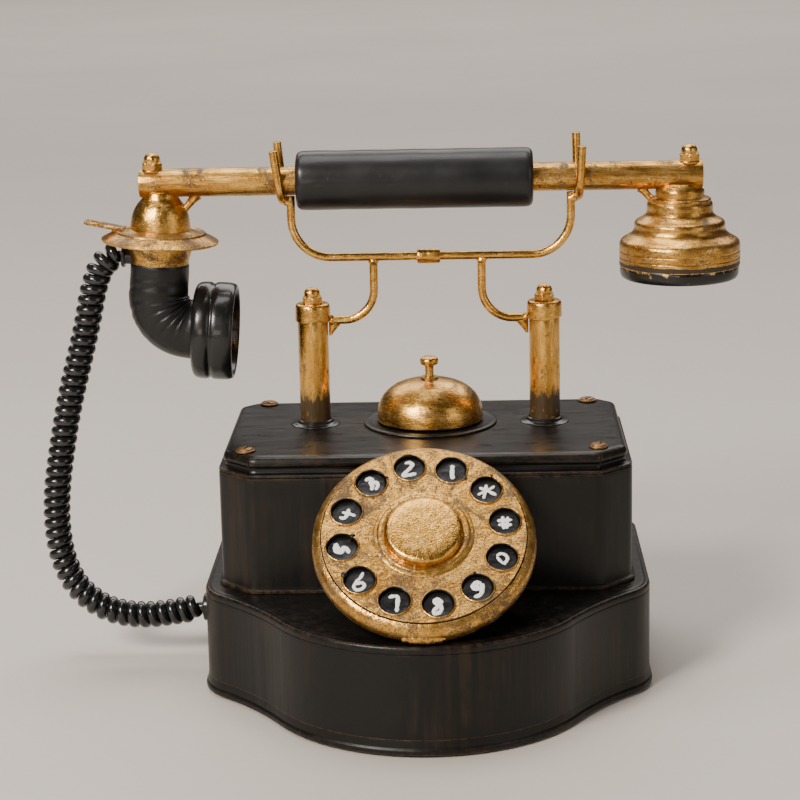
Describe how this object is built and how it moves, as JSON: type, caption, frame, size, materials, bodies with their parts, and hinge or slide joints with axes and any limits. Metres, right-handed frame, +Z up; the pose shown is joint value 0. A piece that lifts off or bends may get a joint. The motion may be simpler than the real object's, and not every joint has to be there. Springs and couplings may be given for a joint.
{
  "type": "rotary telephone",
  "caption": "Antique-style rotary telephone: bow-fronted base, tilted dial, push bell, two-post cradle and lift-off handset on a curly cord.",
  "frame": {"origin": "centre of the underside, on the plane the telephone stands on", "axes": "+Z up, +X to the right, -Y towards the bow front and the dial"},
  "size_m": [0.2563, 0.1491, 0.1924],
  "materials": {
    "gold_metal": "antique gold paint over metal, brushed, dark in the recesses",
    "brass_fastener": "tarnished brass",
    "black_metal": "satin black paint with brown-worn edges",
    "black_gloss": "thick black lacquer",
    "cord_black": "glossy black cord sheath",
    "felt": "pressed felt",
    "steel": "plain steel",
    "copper": "enamelled copper winding",
    "board": "pressed insulating board"
  },
  "bodies": {
    "base": {"felt_pad": "felt", "base_plate": "black_metal", "plate_screws": "steel", "plinth_shell": "black_metal", "plinth_band": "black_metal", "case_shell": "black_metal", "lid": "black_metal", "lid_screws": "brass_fastener", "post_tubes": "gold_metal", "post_washers": "black_metal", "post_springs": "steel", "lever_bracket": "steel", "lever_pin": "steel", "hook_contacts": "brass_fastener", "ringer_coils": "copper", "capacitor": "steel", "induction_coil": "copper", "terminal_board": "board", "bell_base": "black_metal", "bell_gong": "gold_metal", "bell_bush": "gold_metal", "bell_spring": "steel", "dial_housing": "black_metal", "dial_bezel": "gold_metal", "number_plate": "black_gloss", "dial_spring": "steel", "base_gland": "black_gloss", "handset_cord": "cord_black"},
    "cradle": {"collars": "gold_metal", "post_nuts": "gold_metal", "plunger_rods": "steel", "drop_arm_left": "gold_metal", "drop_arm_right": "gold_metal", "cradle_rod_left": "gold_metal", "cradle_rod_right": "gold_metal", "cradle_sleeve": "gold_metal", "fork_left": "gold_metal", "fork_right": "gold_metal"},
    "hook_lever_body": {"hook_lever": "brass_fastener"},
    "dial": {"finger_wheel": "gold_metal", "dial_cap": "gold_metal", "dial_shaft": "steel", "drive_gear": "brass_fastener"},
    "governor_body": {"governor": "steel"},
    "bell_button": {"bell_plunger": "gold_metal"},
    "hammer": {"bell_hammer": "steel"},
    "handset": {"handset_tube_left": "gold_metal", "handset_tube_right": "gold_metal", "grip": "black_gloss", "tube_bolts": "gold_metal", "mouth_dome": "gold_metal", "mouth_flange": "gold_metal", "under_cup": "gold_metal", "handset_gland": "black_gloss", "elbow": "black_gloss", "mouth_cup": "black_gloss", "transmitter_capsule": "black_gloss", "ear_bell": "gold_metal", "ear_cap": "black_gloss", "receiver_capsule": "steel"}
  },
  "joints": [
    {"name": "handset_lift", "type": "slide", "parent": "base", "child": "handset", "axis": [0, 0, 1], "range_m": [0, 0.12], "deforming": ["handset_cord"]},
    {"name": "cradle_rise", "type": "slide", "parent": "base", "child": "cradle", "axis": [0, 0, 1], "range_m": [0, 0.003], "deforming": ["post_springs"]},
    {"name": "lever_swing", "type": "hinge", "parent": "base", "child": "hook_lever_body", "pos_m": [0, 0.052, 0.0634], "axis": [-1, 0, 0], "range_deg": [0, 8]},
    {"name": "dial_turn", "type": "hinge", "parent": "base", "child": "dial", "pos_m": [0, -0.0489, 0.0687], "axis": [0, -0.6361, 0.7716], "range_deg": [-330, 0], "stiffness_Nm_per_rad": 0.01, "springref_deg": 28.65},
    {"name": "governor_spin", "type": "hinge", "parent": "base", "child": "governor_body", "pos_m": [0, -0.03829, 0.07745], "axis": [0, -0.6361, 0.7716], "range_deg": [0, 1320]},
    {"name": "bell_push", "type": "slide", "parent": "base", "child": "bell_button", "axis": [0, 0, -1], "range_m": [0, 0.003], "stiffness_N_per_m": 300, "springref_m": -0.002, "deforming": ["bell_spring"]},
    {"name": "hammer_swing", "type": "hinge", "parent": "base", "child": "hammer", "pos_m": [0.0085, 0.0315, 0.091], "axis": [0, -1, 0], "range_deg": [0, 18]}
  ],
  "couplings": [
    {"joint": "cradle_rise", "follows": "handset_lift", "ratio": 0.025},
    {"joint": "lever_swing", "follows": "handset_lift", "rad_per_m": 1.1},
    {"joint": "governor_spin", "follows": "dial_turn", "ratio": -4},
    {"joint": "hammer_swing", "follows": "bell_push", "rad_per_m": 100}
  ]
}
